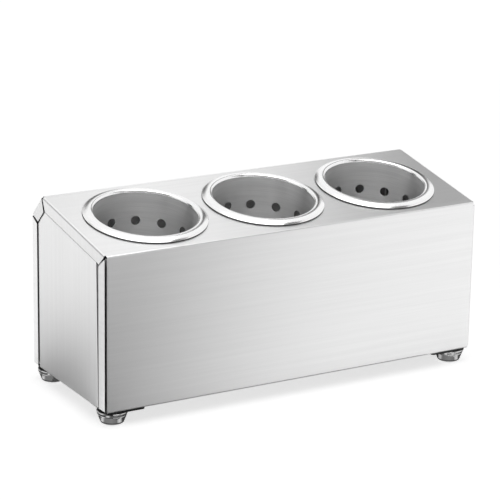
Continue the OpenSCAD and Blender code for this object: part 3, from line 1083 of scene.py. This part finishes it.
# Beside the left end: the density by reach, then rows of y, a shift of the reach and a share of the density
left_fade = (
    (-0.16, 0.58), (-0.06, 0.64), (0.004, 0.68), (0.07, 0.61), (0.17, 0.47), (0.29, 0.25), (0.42, 0.09),
    (0.6, 0.02), (0.8, 0.0),
)
left_rows = ((-0.069, 0.155, 1.5), (-0.04, 0.122, 1.05), (0.0, 0.078, 0.94), (0.084, -0.01, 0.98))
left_start, left_step, left_steps = 0.004, 0.054, 14
left_reaches = [left_start + left_step * k for k in range(left_steps)]
hang_net("left_net", [
    [(Vector((-half_l, y, lay_z)) - reach * front_way, share * graded(left_fade, reach - shift))
     for reach in left_reaches]
    for y, shift, share in left_rows
])

# Curved round the front folds, where they draw dark lines, and round the camera's side of the room: the
# axis, the reach from it, the turns, the heights and the density
curved_nets = {
    "corner_net": (-half_l, front_y, 0.012, range(28, -129, -12), (0.009, 0.166), 1),
    "right_corner_net": (half_l, front_y, 0.012, range(156, 95, -10), (0.009, 0.166), 0.6),
    "camera_net": (0, 0, 1.3, (-80, -50, -20, 10), (0.25, 1.5), 0.7),
}
for name, (x, y, reach, turns, heights, density) in curved_nets.items():
    hang_net(name, [[((*beside(x, y, reach, turn), z), density) for turn in turns] for z in heights])

# Flat, under the holder, along its front, over the room and beside the right end: x, y, height and density
# The under net and the front line net are painted shade: they darken the floor under the holder and along
# its bottom edge where the steel reflects it
flat_nets = {
    "under_net": ((-0.2, 0.2), (-0.06, 0.075), lay_z, 0.85),
    "front_line_net": ((-0.17, 0.165), (-0.089, -0.06), 1.5 * lay_z, 0.8),
    "top_net": ((0.35, 0.95), (-1.8, -0.42), 1.2, 0.9),
    "right_floor_net": ((0.214, 0.6), (-0.06, 0.2), lay_z, 0.5),
}
for name, (across, along, z, density) in flat_nets.items():
    hang_net(name, [[((x, y, z), density) for x in across] for y in along])

# Upright behind the holder, for the top and the rims: y, the density by x, then rows of height and a share
# of the density; the left one has a leaning edge, given by height and x
rear_nets = {
    "right_rear_net": (
        1.5, ((1.18, 0.0), (1.26, 0.35), (1.34, 0.9), (1.4, 0.95), (1.6, 0.95), (1.8, 0.5), (2.1, 0.0)),
        ((0.05, 1), (2.8, 1)),
    ),
    "low_rear_net": (
        1.1, ((-0.4, 0.0), (-0.1, 0.3), (0.08, 0.85), (0.28, 0.85), (0.45, 0.0)),
        ((lay_z, 1), (0.72, 1), (0.9, 0)),
    ),
}
for name, (y, fade, rows) in rear_nets.items():
    hang_net(name, [[((x, y, z), share * density) for x, density in fade] for z, share in rows])
left_rear_y = 1.1
left_rear_far = -1.7
left_rear_edge = ((1.32, -0.88), (lay_z, -0.97))
hang_net("left_rear_net", [
    [((x, left_rear_y, z), 1) for x in (near, left_rear_far)] for z, near in left_rear_edge
])

# On the floor round each foot, for its toe, taper and rim: the inner and outer reach, and the density by
# the turn from the camera's side
foot_rings = {
    "toe": (0.0085, 0.0125, ((-180, 0.9), (180, 0.9))),
    "taper": (0.0125, 0.0185, (
        (-180, 0.92), (-80, 0.92), (-70, 0.25), (-60, 0), (-51, 0.2), (-42, 0.7), (0, 0.65),
        (28, 0.75), (38, 0.2), (47, 0), (56, 0.25), (66, 0.92), (180, 0.92),
    )),
    "rim": (0.0185, 0.03, (
        (-180, 0.92), (-36, 0.92), (-26, 0.1), (-17, 0), (-8, 0.8), (9, 0.8), (18, 0),
        (27, 0.1), (38, 0.92), (180, 0.92),
    )),
}
ring_turns = range(-180, 181, 4)
camera_turn = math.degrees(camera_azimuth)
for name in corner_names:
    axis = foot_axis(name)
    for ring, (inner, outer, fade) in foot_rings.items():
        hang_net(f"{name}_{ring}_net", [
            [((*beside(axis.x, axis.y, reach, turn + camera_turn), lay_z), graded(fade, turn))
             for turn in ring_turns]
            for reach in (inner, outer)
        ])

camera = bpy.data.objects.new("camera", bpy.data.cameras.new("camera"))
bpy.context.scene.collection.objects.link(camera)
camera.data.sensor_width = sensor_w
camera.data.lens = sensor_w * focal_pixels / image_pixels
turn = Matrix.Rotation(camera_azimuth, 4, "Z") @ Matrix.Rotation(math.pi / 2 - camera_elevation, 4, "X")
turn = turn @ Matrix.Rotation(camera_roll, 4, "Z")
camera.matrix_world = Matrix.Translation(camera_aim) @ turn @ Matrix.Translation((0, 0, camera_distance))
bpy.context.scene.camera = camera
bpy.context.scene.view_settings.view_transform = "Standard"
